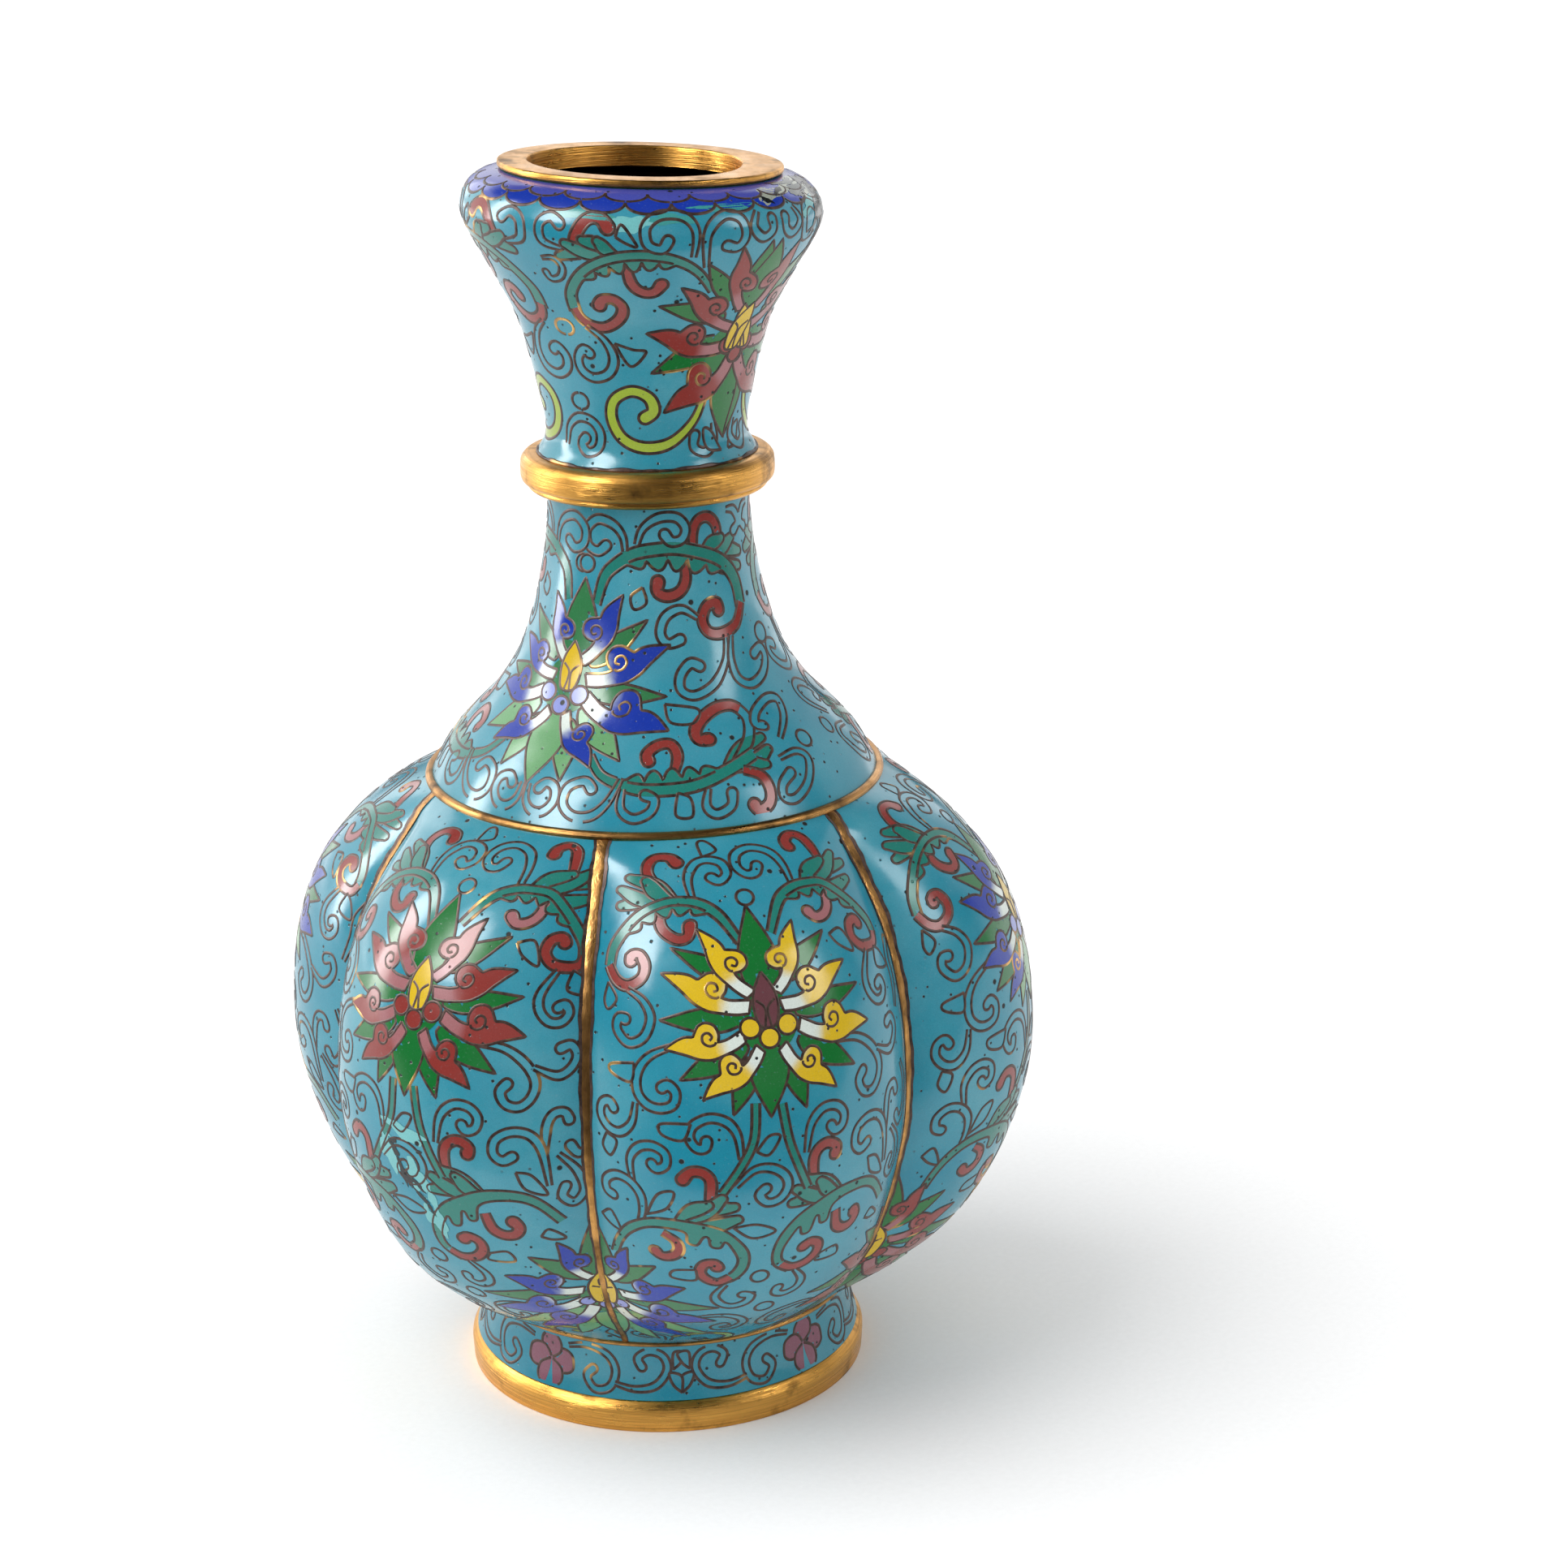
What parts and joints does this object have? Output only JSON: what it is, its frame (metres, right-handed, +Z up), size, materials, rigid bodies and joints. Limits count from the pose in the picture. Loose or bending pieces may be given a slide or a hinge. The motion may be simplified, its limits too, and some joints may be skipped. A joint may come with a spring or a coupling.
{
  "type": "cloisonne vase",
  "caption": "Lobed bottle vase in cloisonne enamel on copper, with gilt mouth ring, neck collar, fillets and foot ring; holds flowers or stands as an ornament.",
  "frame": {"origin": "centre of the foot ring's underside, on the surface that the vase stands on", "axes": "+Z up along the vase's axis; -Y faces the middle of lobe 1, which carries the yellow flower; +X to the right seen from there"},
  "size_m": [0.1144, 0.1232, 0.2008],
  "materials": {
    "gilt_brass": "worn fire gilding, brushed along its length, dark in the creases",
    "copper_wall": null,
    "turquoise_enamel": "ground and polished turquoise enamel with pits, wirework and coloured cells",
    "scale_band_enamel": "cobalt blue enamel scales in wirework",
    "counter_enamel": "plain turquoise counter-enamel, a little rough"
  },
  "bodies": {
    "root": {"mouth_ring": "gilt_brass", "upper_neck_shell": "copper_wall", "scale_band_enamel": "scale_band_enamel", "upper_neck_enamel": "turquoise_enamel", "neck_collar": "gilt_brass", "lower_neck_shell": "copper_wall", "lower_neck_enamel": "turquoise_enamel", "shoulder_fillet": "gilt_brass", "body_upper_shell": "copper_wall", "body_lower_shell": "copper_wall", "lobe_enamel_1": "turquoise_enamel", "groove_wire_1": "gilt_brass", "lobe_enamel_2": "turquoise_enamel", "groove_wire_2": "gilt_brass", "lobe_enamel_3": "turquoise_enamel", "groove_wire_3": "gilt_brass", "lobe_enamel_4": "turquoise_enamel", "groove_wire_4": "gilt_brass", "lobe_enamel_5": "turquoise_enamel", "groove_wire_5": "gilt_brass", "lobe_enamel_6": "turquoise_enamel", "groove_wire_6": "gilt_brass", "foot_fillet": "gilt_brass", "foot_shell": "copper_wall", "foot_enamel": "turquoise_enamel", "foot_ring": "gilt_brass", "base_counter_enamel": "counter_enamel"}
  },
  "joints": []
}
